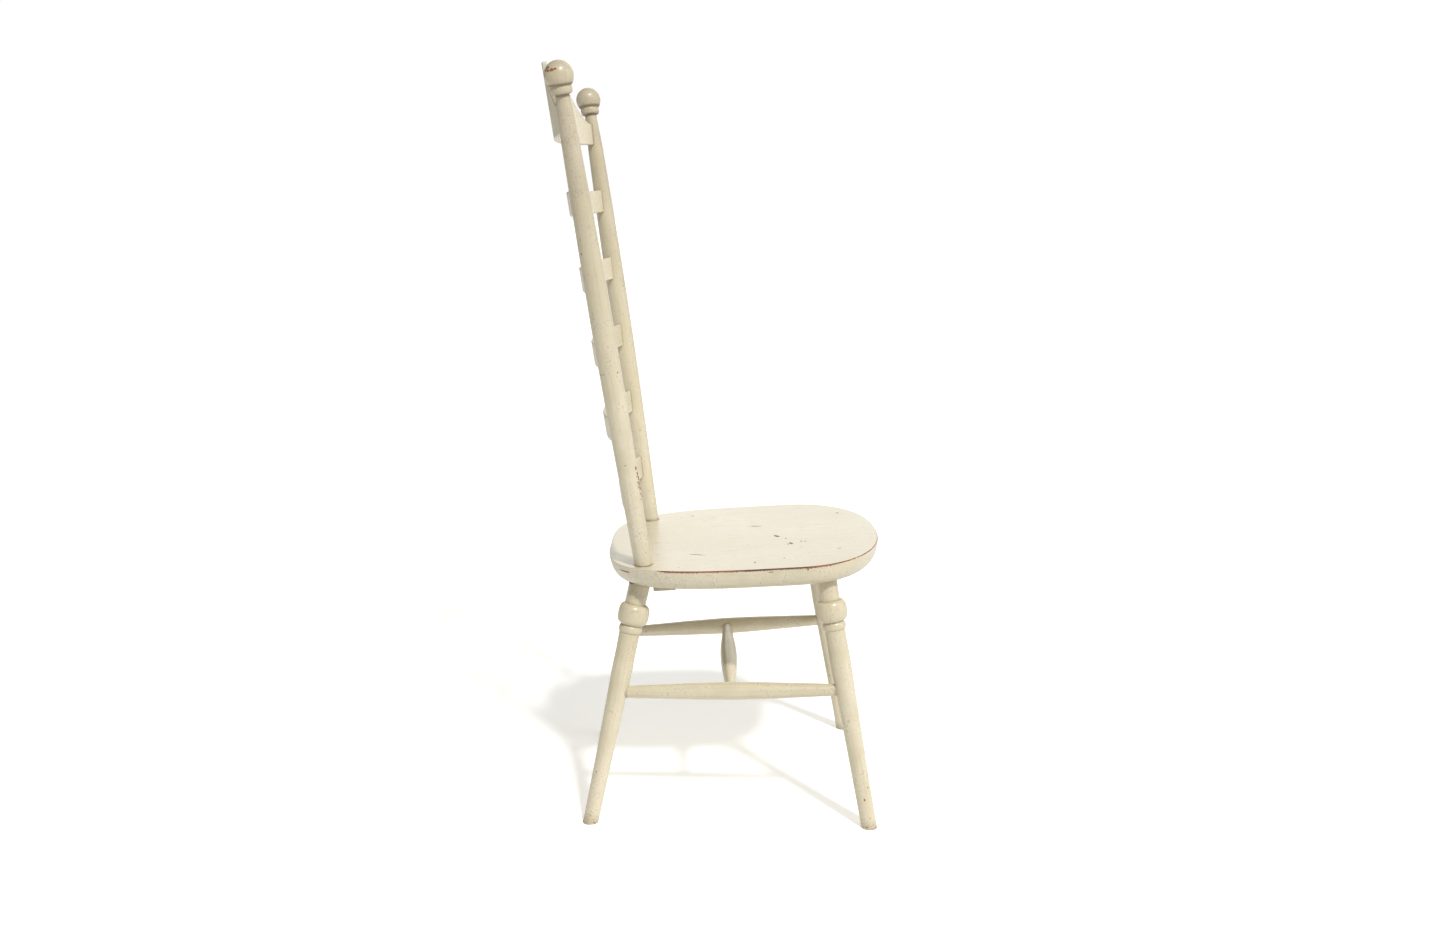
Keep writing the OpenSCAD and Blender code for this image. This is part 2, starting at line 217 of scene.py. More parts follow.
# How far the paint is rubbed off the top edge, by distance behind the front edge
def rubbed(x, y):
    right = smooth(y, 0.410, 0.335) * (0.72 + 0.28 * smooth(y, 0.03, 0.12))
    left = smooth(y, 0.30, 0.22) * (0.55 + 0.25 * np.sin(y * 61))
    return np.where(x < 0, right, left)


def seatBlank():
    angles = evenAngles(seat["around"])
    edgeX, edgeY = outline(angles, 0)
    worn = rubbed(edgeX, edgeY)
    soft = seat["arris"] + seat["wornArris"] * worn
    rings, wear, grimeAndShade = [], [], []

    def ring(inset, z, scale, rub, dirtAndShade):
        x, y = outline(angles, inset)
        x, y = x * scale, seat["widest"] + (y - seat["widest"]) * scale
        rings.append(np.stack([x, y, np.broadcast_to(z, x.shape)], -1))
        wear.append(np.broadcast_to(rub, x.shape))
        grimeAndShade.append(np.broadcast_to(dirtAndShade, x.shape))

    for scale in [*np.linspace(0.02, 0.70, 18), *np.linspace(0.715, 0.985, 26), 0.990, 0.995]:
        ring(soft, 0, scale, 0, 0)
    for turn in np.linspace(0, math.pi / 2, 7):
        inset = soft * (1 - math.sin(turn))
        drop = soft * (1 - math.cos(turn))
        rub = worn * math.exp(-((turn - 0.85) / 0.95) ** 2)
        ring(inset, -drop, 1, rub, 0)
    much, rubAt, over = seat["sideRub"]
    for share in np.linspace(0.09, 1, 26):
        deep = share * seat["thick"]
        tuck = seat["tuck"] * (1 - math.sqrt(max(0, 1 - share * share)))
        rub = worn * much * math.exp(-((deep - rubAt) / over) ** 2)
        ring(tuck, -deep, 1, rub, seat["sideDarkening"] * share ** 2)
    for scale in (0.985, 0.95, 0.9, 0.8, 0.65, 0.45, 0.25, 0.06):
        ring(seat["tuck"], -seat["thick"], scale, 0, seat["underDarkening"])
    points = np.vstack(rings)
    return points, np.concatenate(wear), np.concatenate(grimeAndShade), len(rings)


def ripple(points):
    # the boards have moved a little over the years, so the top isn't a machined plane
    x, y = points[:, 0], points[:, 1]
    inner = smooth(points[:, 2], -0.0004, 0)
    cup = seat["cup"] * np.cos(x / seat["boardHalf"] * math.pi) - seat["cup"]
    wave = seat["wave"] * (drift(3.0, y * 21, x * 17 + y * 5) - 1)
    points[:, 2] += inner * (cup + wave)
    return points


def gathered(points, x, y, reach):
    # dirt that has settled round a joint
    start, stop, much = reach
    return much * (1 - smooth(np.hypot(points[:, 0] - x, points[:, 1] - y), start, stop))


# Marks are (middle, size each way, turn about the piece's own Z). Chips show the wood, nicks are dark dents.
seatChips = [
    ((-0.1775, 0.2110, 0), (0.0030, 0.0016, 0.003), 0),
    ((-0.2215, 0.1310, -0.0048), (0.0030, 0.0012, 0.0024), 0),
    ((-0.2217, 0.1887, -0.0056), (0.0030, 0.0042, 0.0007), 0),
    ((-0.1575, 0.4165, -0.0090), (0.0160, 0.0030, 0.0013), 0.60),
    ((0.1320, 0.0520, 0), (0.0030, 0.0018, 0.003), 0.4),
    ((0.1660, 0.3110, 0), (0.0040, 0.0014, 0.003), 1.1),
]
seatNicks = [
    ((-0.0170, 0.1680, 0), (0.0080, 0.0040, 0.003), 0.5),
    ((-0.0340, 0.1540, 0), (0.0030, 0.0015, 0.003), 0),
    ((-0.0690, 0.1475, 0), (0.0070, 0.0032, 0.003), 0.3),
    ((-0.0740, 0.1525, 0), (0.0035, 0.0014, 0.003), 0),
    ((-0.0590, 0.1300, 0), (0.0030, 0.0015, 0.003), 0),
    ((-0.0610, 0.1240, 0), (0.0030, 0.0013, 0.003), 0.8),
    ((-0.1180, 0.0730, 0), (0.0042, 0.0018, 0.003), 1.2),
    ((-0.1620, 0.1640, 0), (0.0025, 0.0014, 0.003), 0),
    ((-0.1125, 0.3020, 0), (0.0150, 0.0018, 0.003), 1.12),
    ((0.0625, 0.2010, 0), (0.0110, 0.0022, 0.003), 1.33),
]


def makeSeat(finish):
    points, wear, grimeAndShade, rows = seatBlank()
    points = ripple(points)
    over, under = points[:, 2] > -0.01, points[:, 2] < -0.03
    for side in (-1, 1):
        postDirt = gathered(points, side * back["postX"], back["postY"], seat["postDirt"])
        grimeAndShade = np.maximum(grimeAndShade, over * postDirt)
        for _, top in legAxes(side):
            grimeAndShade = np.maximum(grimeAndShade, under * gathered(points, top.x, top.y, seat["legDirt"]))
    cuts = {
        "seat_board_right": (None, -seat["boardHalf"]),
        "seat_board_middle": (-seat["boardHalf"], seat["boardHalf"]),
        "seat_board_left": (seat["boardHalf"], None),
    }
    made = []
    for node, (low, high) in cuts.items():
        piece = skinned(node.replace("_", "."), points, rows, seat["around"], seatFrame(), wear, grimeAndShade, True)
        mesh = bmesh.new()
        mesh.from_mesh(piece.data)
        for x, normal in ((low, -1), (high, 1)):
            if x is None:
                continue
            everything = mesh.verts[:] + mesh.edges[:] + mesh.faces[:]
            sliced = bmesh.ops.bisect_plane(
                mesh, geom=everything, plane_co=(x, 0, 0), plane_no=(normal, 0, 0), clear_outer=True)
            rim = [e for e in sliced["geom_cut"] if isinstance(e, bmesh.types.BMEdge)]
            bmesh.ops.holes_fill(mesh, edges=rim)
            for edge in rim:
                edge.smooth = False    # a crisp seam
        finished(piece, mesh, finish)
        made.append((piece, node, "painted_seat"))
    return made


def finished(piece, mesh, finish):
    bmesh.ops.recalc_face_normals(mesh, faces=mesh.faces[:])
    mesh.to_mesh(piece.data)
    mesh.free()
    piece.data.materials.append(finish)


legs = {
    "frontSide": 0.0556,     # front socket, in from the seat's side
    "frontIn": 0.100,        # and back from the front edge
    "rearX": 0.1333,         # rear socket, from the middle of the seat
    "rearY": 0.395,
    "neck": 0.0175,          # radii
    "ball": 0.025,
    "ring": 0.019,
    "swell": 0.0167,
    "foot": 0.0125,
    "groove": 0.0012,        # how much thinner the grooves are than the neck
    "flare": 0.0008,
    "taper": 0.0006,
    "hollow": 1.5,           # 1 tapers straight to the foot, more is hollow
    "ballLong": 0.034,
    "ringLong": 0.012,
    "gap": 0.0015,           # between the ball and the ring
    "ballDrop": 0.0535,
    "swellDrop": 0.066,
}


def legAxes(side):
    # foot in the chair's frame, top in the seat's frame
    hand = "right" if side < 0 else "left"
    front = Vector((side * (seat["halfWidth"] - legs["frontSide"]), legs["frontIn"], -seat["thick"]))
    rear = Vector((side * legs["rearX"], legs["rearY"], -seat["thick"]))
    return [(feet["foot_front_" + hand], front), (feet["foot_rear_" + hand], rear)]


def legRadius(u, length):
    # u is the distance below the seat
    ballHalf, ringHalf = legs["ballLong"] / 2, legs["ringLong"] / 2
    ball = np.abs(u - legs["ballDrop"]) / ballHalf
    ringAt = legs["ballDrop"] + ballHalf + legs["gap"] + ringHalf
    ring = np.abs(u - ringAt) / ringHalf
    groove = legs["neck"] - legs["groove"]
    swellAt = ringAt + legs["swellDrop"]
    t = np.clip((u - swellAt) / (length - swellAt), 0, 1)
    ballRound = groove + (legs["ball"] - groove) * np.sqrt(np.clip(1 - ball ** 3, 0, 1))
    ringRound = groove + (legs["ring"] - groove) * np.sqrt(np.clip(1 - ring ** 2, 0, 1))
    neck = groove + legs["flare"] * np.abs(1 - u / (legs["ballDrop"] - ballHalf))
    upper = legs["swell"] - legs["taper"] * (swellAt - u) / (swellAt - ringAt)
    lower = legs["foot"] + (legs["swell"] - legs["foot"]) * (1 - t) ** legs["hollow"]
    parts = [ball < 1, ring < 1, u < ringAt, u < swellAt]
    return np.select(parts, [ballRound, ringRound, neck, upper], lower)


def heightOver(x, y, at, normal):
    # height of a sloping plane over a point
    return at.z - (normal.x * (x - at.x) + normal.y * (y - at.y)) / normal.z


def makeLeg(name, node, side, which, finish, seed):
    foot, top = legAxes(side)[which]
    top = seatFrame() @ top
    length = (top - foot).length
    matrix = standing(foot, top)
    into = matrix.inverted()
    ballTop = legs["ballDrop"] - legs["ballLong"] / 2
    ballLow = legs["ballDrop"] + legs["ballLong"] / 2
    ringLow = ballLow + legs["gap"] + legs["ringLong"]
    down = np.concatenate([
        np.linspace(-0.006, ballTop - 0.0004, 22),
        ballTop + legs["ballLong"] * (1 - np.cos(np.linspace(0, math.pi, 34))) / 2,
        [ballLow + 0.0008],
        ballLow + legs["gap"] + legs["ringLong"] * (1 - np.cos(np.linspace(0, math.pi, 16))) / 2,
        np.linspace(ringLow + 0.002, length + 0.008, 130),
    ])
    radii = legRadius(np.clip(down, 0, length), length)
    # Darker at the seat joint, round the ball and ring and towards the foot; the last term is the seat's
    # shadow on the neck, painted.
    grimeAndShade = (0.55 * (1 - smooth(down, 0.000, 0.008))
             + 0.5 * near(down, ballLow + 0.0008, 0.0014)
             + 0.42 * near(down, ballTop, 0.0016)
             + 0.42 * near(down, ringLow, 0.0014)
             + 0.45 * smooth(down, length - 0.03, length)
             + 0.24 * (1 - smooth(down, 0.020, 0.040)))
    wear = (0.18 * near(down, legs["ballDrop"], 0.007)
            + 0.15 * near(down, (ballLow + ringLow) / 2, 0.003)
            + 0.36 * smooth(down, length - 0.008, length) + 0.08
            + 0.14 * smooth(down, length - 0.09, length))
    upright = Vector((0, 0, 1))
    shoulder, shoulderNormal = into @ top, into.to_3x3() @ (seatFrame().to_3x3() @ upright)
    ground, groundNormal = into @ foot, into.to_3x3() @ upright

    def cut(points):
        # the neck stops at the underside of the seat, and the foot is sawn level with the floor
        x, y, z = points.T
        highest = heightOver(x, y, shoulder, shoulderNormal)
        lowest = heightOver(x, y, ground, groundNormal)
        return np.stack([x, y, np.clip(z, lowest, highest)], -1)

    stops = length - down[::-1]
    piece = turned(name, stops, radii[::-1], matrix, grimeAndShade[::-1], wear[::-1], seed, cut)
    piece.data.materials.append(finish)
    return [(piece, node, "painted_wood")]


print("shapes: posts")

posts = {
    "base": 0.014,
    "swell": 0.0172,
    "swellAt": 0.360,
    "upper": 0.0133,
    "neck": 0.0103,
    "neckLong": 0.062,
    "ball": 0.0215,
    "collar": 0.01625,
    "collarLong": 0.0135,
    "ballRise": 0.027,
    "ballDrop": 0.043,    # middle of the ball, below the top of the crest
}

crest = {
    "bow": 0.038,
    "end": 0.036,        # height at its ends
    "middle": 0.121,     # and at its middle
    "crown": 0.005,
    "flat": 0.22,        # where its shoulders start and stop, as a share of the half width
    "foot": 0.95,
    "rows": 26,
    "wear": (0.3, 0.55, 0.42),
    # painted shade on the crest's top edge towards the posts
    "grimeAndShade": 0.5,
}

slats = {
    "firstBow": 0.0255,
    "bow": 0.0325,
    "rows": 9,
    "wear": (0.34, 0.12),
    "grimeAndShade": 0.2,
}

band = {
    "columns": 190,
    "soft": 0.0021,      # rounding of its edges
    "wobble": 0.00012,
    "postGrime": 0.7,
    "postClose": (0.017, 0.026),
}


def crestLow():
    return back["slatCount"] * (back["slatHeight"] + back["slatGap"]) + back["slatGap"]


def slatLow(i):
    return back["slatGap"] + i * (back["slatHeight"] + back["slatGap"])


def postRadius(s, neckAt):
    upper = neckAt - posts["neckLong"]
    rise = np.clip(s / posts["swellAt"], 0, 1)
    fall = np.clip((s - posts["swellAt"]) / (upper - posts["swellAt"]), 0, 1)
    narrow = np.clip((s - upper) / posts["neckLong"], 0, 1)
    low = posts["base"] + (posts["swell"] - posts["base"]) * np.sin(rise * math.pi / 2)
    middle = posts["swell"] - (posts["swell"] - posts["upper"]) * (1 - np.cos(fall * math.pi / 2))
    high = posts["upper"] - (posts["upper"] - posts["neck"]) * narrow
    return np.select([s < posts["swellAt"], s < upper], [low, middle], high)


def makePost(name, node, side, finish, seed):
    ballAt = (crestLow() + crest["middle"] - posts["ballDrop"]) / math.cos(back["splay"])
    neckAt = ballAt - posts["ballRise"]
    shaft = np.linspace(-0.006, neckAt, 360)
    shaftRadii = postRadius(shaft, neckAt)
    collarMiddle = neckAt + 0.001 + posts["collarLong"] / 2
    turn = np.linspace(0.06, math.pi - 0.06, 18)
    collarStops = collarMiddle - np.cos(turn) * posts["collarLong"] / 2
    collarRadii = posts["neck"] + (posts["collar"] - posts["neck"]) * np.sqrt(np.sin(turn))
    lowest = math.asin((posts["neck"] + 0.002) / posts["ball"])
    around = np.linspace(math.pi - lowest, 0.02, 44)
    ballStops = ballAt + posts["ball"] * np.cos(around)
    ballRadii = posts["ball"] * np.sin(around)
    stops = np.concatenate([shaft, collarStops, ballStops])
    radii = np.concatenate([shaftRadii, collarRadii, ballRadii])
    collarTop = collarMiddle + posts["collarLong"] / 2
    # Darker at the foot, below the collar and above it; the darkening up the post from 0.08 to 0.66 is
    # painted shade.
    grimeAndShade = (0.4 * (1 - smooth(stops, 0, 0.005))
             + 0.6 * near(stops, neckAt, 0.0018)
             + 0.6 * near(stops, collarTop, 0.0018)
             + 0.42 * smooth(stops, 0.08, 0.66))
    wear = (0.1 + 0.42 * (1 - smooth(stops, 0.001, 0.004))
            + 0.12 * smooth(stops, ballAt, ballAt + posts["ball"])
            + 0.12 * near(stops, collarMiddle, 0.003))
    matrix = postFrame(side)
    toSeat = seatFrame().inverted() @ matrix

    def cut(points):
        # the post's shoulder sits on the seat
        onSeat = points @ np.array(toSeat.to_3x3()).T + np.array(toSeat.translation)
        axis = np.array(toSeat.to_3x3() @ Vector((0, 0, 1)))
        points[:, 2] += np.maximum(0, -onSeat[:, 2]) / axis[2]
        return points

    piece = turned(name, stops, radii, matrix, grimeAndShade, wear, seed, cut)
    piece.data.materials.append(finish)
    return [(piece, node, "painted_wood")]


print("shapes: slats and crest")


def bowRadius(half, bow):
    return (half * half + bow * bow) / (2 * bow)


def bandSection(rows):
    # once round the board: share of the height, offsets in height and thickness, nearness to an edge
    soft, half = band["soft"], back["slatThick"] / 2
    turns = np.linspace(0, math.pi / 2, 6)
    section = []
    for climb, run in ((1, np.linspace(0, 1, rows)), (-1, np.linspace(1, 0, rows)[1:])):
        end = (1 + climb) / 2
        for share in run:
            section.append((share, soft * (1 - 2 * share), -climb * half, 0.0))
        for turn in turns[1:]:
            rise, out = soft * (1 - math.sin(turn)), half - soft * (1 - math.cos(turn))
            section.append((end, -climb * rise, -climb * out, math.sin(2 * turn)))
        for turn in turns:
            rise, out = soft * (1 - math.cos(turn)), half - soft * (1 - math.sin(turn))
            section.append((end, -climb * rise, climb * out, math.sin(2 * turn)))
    return np.array(section)


def makeBand(name, node, low, half, bow, topOf, rows, finish, seed, edgeWear, edgeGrimeAndShade):
    # a bent board: columns run across the chair, each column is one closed section
    section = bandSection(rows)
    share, rise, out, edge = section.T
    r = bowRadius(half, bow)
    points, wear, grimeAndShade = [], [], []
    for u in np.linspace(-1, 1, band["columns"]):
        v = low + (topOf(abs(u)) - low) * share + rise
        x = u * (postAxisX(v) + back["slatPast"])
        y = bow - r + np.sqrt(r * r - x * x)
        nx, ny = x / r, (y - (bow - r)) / r
        lift = out + band["wobble"] * drift(seed, x * 23, v * 40)
        points.append(np.stack([x + nx * lift, y + ny * lift, v], -1))
        wear.append(edge * edgeWear(u, share))
        close = 1 - smooth((1 - abs(u)) * half, *band["postClose"])
        grimeAndShade.append(np.maximum(close * band["postGrime"], edgeGrimeAndShade(abs(u)) * (share > 0.99)))
    piece = skinned(name, np.vstack(points), band["columns"], len(section), backFrame(),
                    np.concatenate(wear), np.concatenate(grimeAndShade))
    mesh = bmesh.new()
    mesh.from_mesh(piece.data)
    finished(piece, mesh, finish)
    return [(piece, node, "painted_wood")]


def makeSlats(finish):
    made = []
    base, swing = slats["wear"]
    for i in range(back["slatCount"]):
        low = slatLow(i)
        high = low + back["slatHeight"]
        half = postAxisX(low + back["slatHeight"] / 2)
        bow = slats["bow"] if i else slats["firstBow"]
        node = "ladder_slat_" + str(i + 1)
        made += makeBand(node.replace("_", "."), node, low, half, bow, lambda a: high, slats["rows"],
                         finish, 5.0 + i, lambda u, share: base + swing * math.sin(u * 9 + i),
                         lambda a: slats["grimeAndShade"])
    return made


def makeCrest(finish):
    low = crestLow()
    ends = low + crest["end"]
    half = postAxisX(low + crest["end"] / 2)
    rise = crest["middle"] - crest["end"] - crest["crown"]

    base, more, spread = crest["wear"]

    def topOf(a):
        down = float(smooth(a, crest["flat"], crest["foot"]))
        crown = crest["crown"] * math.cos(math.pi / 2 * min(a / crest["foot"], 1)) ** 2
        return ends + rise * (1 - down) + crown

    # the crest's top edge darkens towards the posts, as painted shade
    return makeBand("crest.slat", "crest_slat", low, half, crest["bow"], topOf, crest["rows"],
                    finish, 12.0, lambda u, share: base + share * more * math.exp(-(u / spread) ** 2),
                    lambda a: crest["grimeAndShade"] * float(smooth(a, 0.35, 0.6)))


print("shapes: stretchers")

stretchers = {
    "frontHeight": 0.2225,
    "rearHeight": 0.2097,
    "sideEnd": 0.00875,
    "sideMiddle": 0.0145,
    "sideSocket": 0.018,
    "crossEnd": 0.0085,
    "crossMiddle": 0.0145,
    "crossSocket": 0.016,
    "past": 0.002,       # how far each end goes past the other piece's axis
    "stops": 220,
}


def atHeight(a, b, h):
    return a + (b - a) * ((h - a.z) / (b.z - a.z))


def stretcherEnds(side):
    (frontFoot, frontTop), (rearFoot, rearTop) = legAxes(side)
    frontJoint = atHeight(frontFoot, seatFrame() @ frontTop, stretchers["frontHeight"])
    rearJoint = atHeight(rearFoot, seatFrame() @ rearTop, stretchers["rearHeight"])
    return frontJoint, rearJoint


def makeStretcher(name, node, a, b, kind, full, finish, seed):
    past, end, middle = stretchers["past"], stretchers[kind + "End"], stretchers[kind + "Middle"]
    socket = stretchers[kind + "Socket"]
    length = (b - a).length + 2 * past
    run = np.linspace(0, length, stretchers["stops"])
    t = np.abs(2 * run / length - 1)
    bulge = np.cos(t * math.pi / 2) ** 2 if full else 1 - t ** 1.4
    radii = end + (middle - end) * bulge
    edge = np.minimum(run, length - run)
    grimeAndShade = 0.5 * (1 - smooth(edge, socket, socket + 0.004))
    wear = 0.08 + 0.14 * bulge
    piece = turned(name, run - past, radii, standing(a, b), grimeAndShade, wear, seed)
    piece.data.materials.append(finish)
    return [(piece, node, "painted_wood")]


print("shapes: batten and screws")

batten = {
    "width": 0.036,
    "thick": 0.016,
    "length": 0.280,
    "gap": 0.003,
    "soft": 0.0012,
    "uneven": 0.0003,
    "marks": 0.25,       # wear and grime alike
}

screws = {
    "count": 3,
    "inset": 0.020,
    "head": 0.004,       # radii
    "shank": 0.002,
    "root": 0.78,        # bottom of the thread, as a share of the shank
    "plain": 0.012,      # length without a thread
    "turns": 22,
    "pitch": 0.0008,
    "length": 0.032,
    "sides": 36,
}


def battenMiddle():
    return legs["rearY"] - legs["neck"] - batten["gap"] - batten["width"] / 2


def makeBatten(finish):
    size = Vector((batten["length"], batten["width"], batten["thick"]))
    middle = Vector((0, battenMiddle(), -seat["thick"] - size.z / 2))
    mesh = bmesh.new()
    bmesh.ops.create_cube(mesh, size=1)
    for v in mesh.verts:
        v.co = v.co * size + middle
    for axis, over, cuts in ((0, 0.1, 60), (1, 0.01, 6)):
        along = [e for e in mesh.edges if abs((e.verts[0].co - e.verts[1].co)[axis]) > over]
        bmesh.ops.subdivide_edges(mesh, edges=along, cuts=cuts, use_grid_fill=True)
    for v in mesh.verts:
        if v.co.z < middle.z:
            v.co.z += batten["uneven"] * math.sin(v.co.x * 47) * math.sin(v.co.y * 90)
    sharp = [e for e in mesh.edges if e.is_manifold and e.calc_face_angle() > 0.6]
    bmesh.ops.bevel(mesh, geom=sharp, offset=batten["soft"], segments=3, affect="EDGES", profile=0.5)
    bmesh.ops.recalc_face_normals(mesh, faces=mesh.faces[:])
    data = meshed("rear.batten", mesh)
    for key in ("wear", "grimeAndShade"):
        values = [batten["marks"]] * len(data.vertices)
        data.attributes.new(key, "FLOAT", "POINT").data.foreach_set("value", values)
    data.materials.append(finish)
    return [(placed("rear.batten", data, seatFrame()), "rear_batten", "painted_underside")]


def screwProfile():
    # radius and height, from the middle of the head to the point
    head, shank, plain = screws["head"], screws["shank"], screws["plain"]
    profile = [(0.0, 0.0), (head * 0.96, 0.0), (head, 0.0002), (shank, 0.0021), (shank, plain)]
    for n in range(1, screws["turns"] + 1):
        profile.append((shank * (screws["root"] if n % 2 else 1.0), plain + n * screws["pitch"]))
    return profile + [(0.0, screws["length"])]


def makeScrews(finish):
    mesh = bmesh.new()
    step = (batten["length"] - 2 * screws["inset"]) / (screws["count"] - 1)
    bearings = np.linspace(0, 2 * math.pi, screws["sides"], endpoint=False)
    for k in range(screws["count"]):
        across = (k - (screws["count"] - 1) / 2) * step
        at = Vector((across, battenMiddle(), -seat["thick"] - batten["thick"]))
        rings = []
        for r, z in screwProfile():
            spots = [at + Vector((r * math.cos(a), r * math.sin(a), z)) for a in (bearings if r else (0,))]
            rings.append([mesh.verts.new(spot) for spot in spots])
        for low, high in zip(rings, rings[1:]):
            for j in range(screws["sides"]):
                i = (j + 1) % screws["sides"]
                if len(low) == 1:
                    mesh.faces.new((low[0], high[i], high[j]))
                elif len(high) == 1:
                    mesh.faces.new((low[j], low[i], high[0]))
                else:
                    mesh.faces.new((low[j], low[i], high[i], high[j]))
    bmesh.ops.recalc_face_normals(mesh, faces=mesh.faces[:])
    piece = placed("batten.screws", meshed("batten.screws", mesh), seatFrame())
    piece.data.materials.append(finish)
    return [(piece, "batten_screws", "screw_steel")]


class Field:
    # a socket that takes part in sums

    def __init__(self, nodes, socket):
        self.nodes = nodes
        self.socket = socket

    def __add__(self, other):
        return self.nodes.sum("ADD", self, other)

    def __radd__(self, other):
        return self.nodes.sum("ADD", other, self)

    def __sub__(self, other):
        return self.nodes.sum("SUBTRACT", self, other)

    def __rsub__(self, other):
        return self.nodes.sum("SUBTRACT", other, self)

    def __mul__(self, other):
        return self.nodes.sum("MULTIPLY", self, other)

    def __rmul__(self, other):
        return self.nodes.sum("MULTIPLY", other, self)


class Nodes:

    def __init__(self, tree):
        self.tree = tree

    def feed(self, socket, value):
        if isinstance(value, Field):
            self.tree.links.new(value.socket, socket)
        else:
            socket.default_value = value

    def node(self, kind, settings, sockets, output=0):
        made = self.tree.nodes.new(kind)
        for key, value in settings.items():
            setattr(made, key, value)
        for key, value in sockets.items():
            self.feed(made.inputs[key], value)
        return Field(self, made.outputs[output]) if made.outputs else None

    def sum(self, operation, a, b):
        return self.node("ShaderNodeMath", {"operation": operation}, {0: a, 1: b})

    def greater(self, a, b):
        return self.sum("MAXIMUM", a, b)

    def lesser(self, a, b):
        return self.sum("MINIMUM", a, b)

    def vector(self, operation, sockets, output=0):
        return self.node("ShaderNodeVectorMath", {"operation": operation}, sockets, output)

    def ramp(self, value, low, high, a=0.0, b=1.0):
        return self.node("ShaderNodeMapRange", {"interpolation_type": "SMOOTHSTEP", "clamp": True},
                         {"Value": value, "From Min": low, "From Max": high, "To Min": a, "To Max": b})

    def mix(self, share, a, b):
        return self.node("ShaderNodeMix", {"data_type": "RGBA"}, {0: share, 6: a, 7: b}, 2)


class Finish(Nodes):

    def __init__(self, name):
        self.material = bpy.data.materials.new(name)
        self.material.use_nodes = True
        super().__init__(self.material.node_tree)
        self.shader = self.tree.nodes["Principled BSDF"]

    def surface(self, sockets):
        for key, value in sockets.items():
            self.feed(self.shader.inputs[key], value)

    def mark(self, name, output="Fac"):
        return self.node("ShaderNodeAttribute", {"attribute_name": name}, {}, output)

    def place(self, shift=(0, 0, 0), stretch=(1, 1, 1)):
        moved = self.vector("ADD", {0: self.mark("grain", "Vector"), 1: shift})
        return self.vector("MULTIPLY", {0: moved, 1: stretch})

    def noise(self, where, scale, detail, rough):
        return self.node("ShaderNodeTexNoise", {"noise_dimensions": "3D"},
                         {"Vector": where, "Scale": scale, "Detail": detail, "Roughness": rough})

    def marked(self, where, spots, ragged):
        # 1 inside any of the marks, with an edge as ragged as the noise given
        nearest = 9.0
        for at, size, turn in spots:
            local = self.node("ShaderNodeMapping", {"vector_type": "TEXTURE"},
                              {"Vector": where, "Location": at, "Rotation": (0, 0, turn), "Scale": size})
            nearest = self.lesser(nearest, self.vector("LENGTH", {0: local}, "Value"))
        return self.ramp(nearest + ragged, 1.05, 0.80)

    def dots(self, where, scale, size, share):
        # small round specks, one at most in each cell, and only in that share of the cells
        cell = {"Vector": where, "Scale": scale}
        away = self.node("ShaderNodeTexVoronoi", {}, cell, "Distance")
        tone = self.node("ShaderNodeTexVoronoi", {}, cell, "Color")
        pick = self.node("ShaderNodeSeparateColor", {}, {0: tone})
        chosen = self.ramp(pick, 1 - share, 1 - share + 0.02)
        return self.ramp(away, size, size * 0.6) * chosen

    def bump(self, height):
        # height is in millimetres
        return self.node("ShaderNodeBump", {}, {"Strength": 1.0, "Distance": 0.001, "Height": height})


def colour(*values):
    # from screen values
    return tuple(((c / 255 + 0.055) / 1.055) ** 2.4 for c in values) + (1.0,)


paint = {
    "cream": colour(202, 192, 165),
    "pale": colour(215, 206, 184),
    "aged": colour(178, 168, 132),
    "stain": colour(152, 138, 104),
    # the dirt colour, which also serves as painted shade
    "dirtAndShade": colour(110, 92, 64),
    "dent": colour(74, 70, 62),
    "bare": colour(158, 100, 62),
    "bareDark": colour(86, 60, 42),
    "grain": (7.0, 260.0),           # noise per metre along the wood, and across it
    "brushed": (26.0, 1100.0),
    "lying": (26.0, 420.0),
    "mottle": (24.0, 4.0, 0.6),      # noise: scale, detail, roughness
    "cloud": (5.0, 2.0, 0.5),
    "streak": (1.0, 4.0, 0.6),
    "hair": (1.0, 3.0, 0.6),
    "dash": (1.0, 1.0, 0.4),
    "fine": (900.0, 2.0, 0.5),
    "speck": (320.0, 3.0, 0.65),
    "pinholes": (70.0, 0.075, 0.16),     # cells per metre, size in a cell, share of the cells
    "flecks": (34.0, 0.050, 0.10),
    "ragged": 1.6,
    "hairShare": 0.30,               # how strongly each layer shows
    "stainShare": 0.48,
    "sootAndShadeShare": 0.85,
    "holeShare": 0.75,
    "dentShare": 0.78,
    "rough": (0.32, 0.50),           # roughness of the brushed film
    "spoiltRough": 0.3,              # and how much rougher it is where it's spoilt
}

# heights in millimetres
relief = {
    "streak": 0.07,
    "hair": 0.03,
    "fine": 0.012,
    "mottle": 0.10,
    "bare": 0.14,
    "dent": 0.25,
    "hole": 0.06,
}


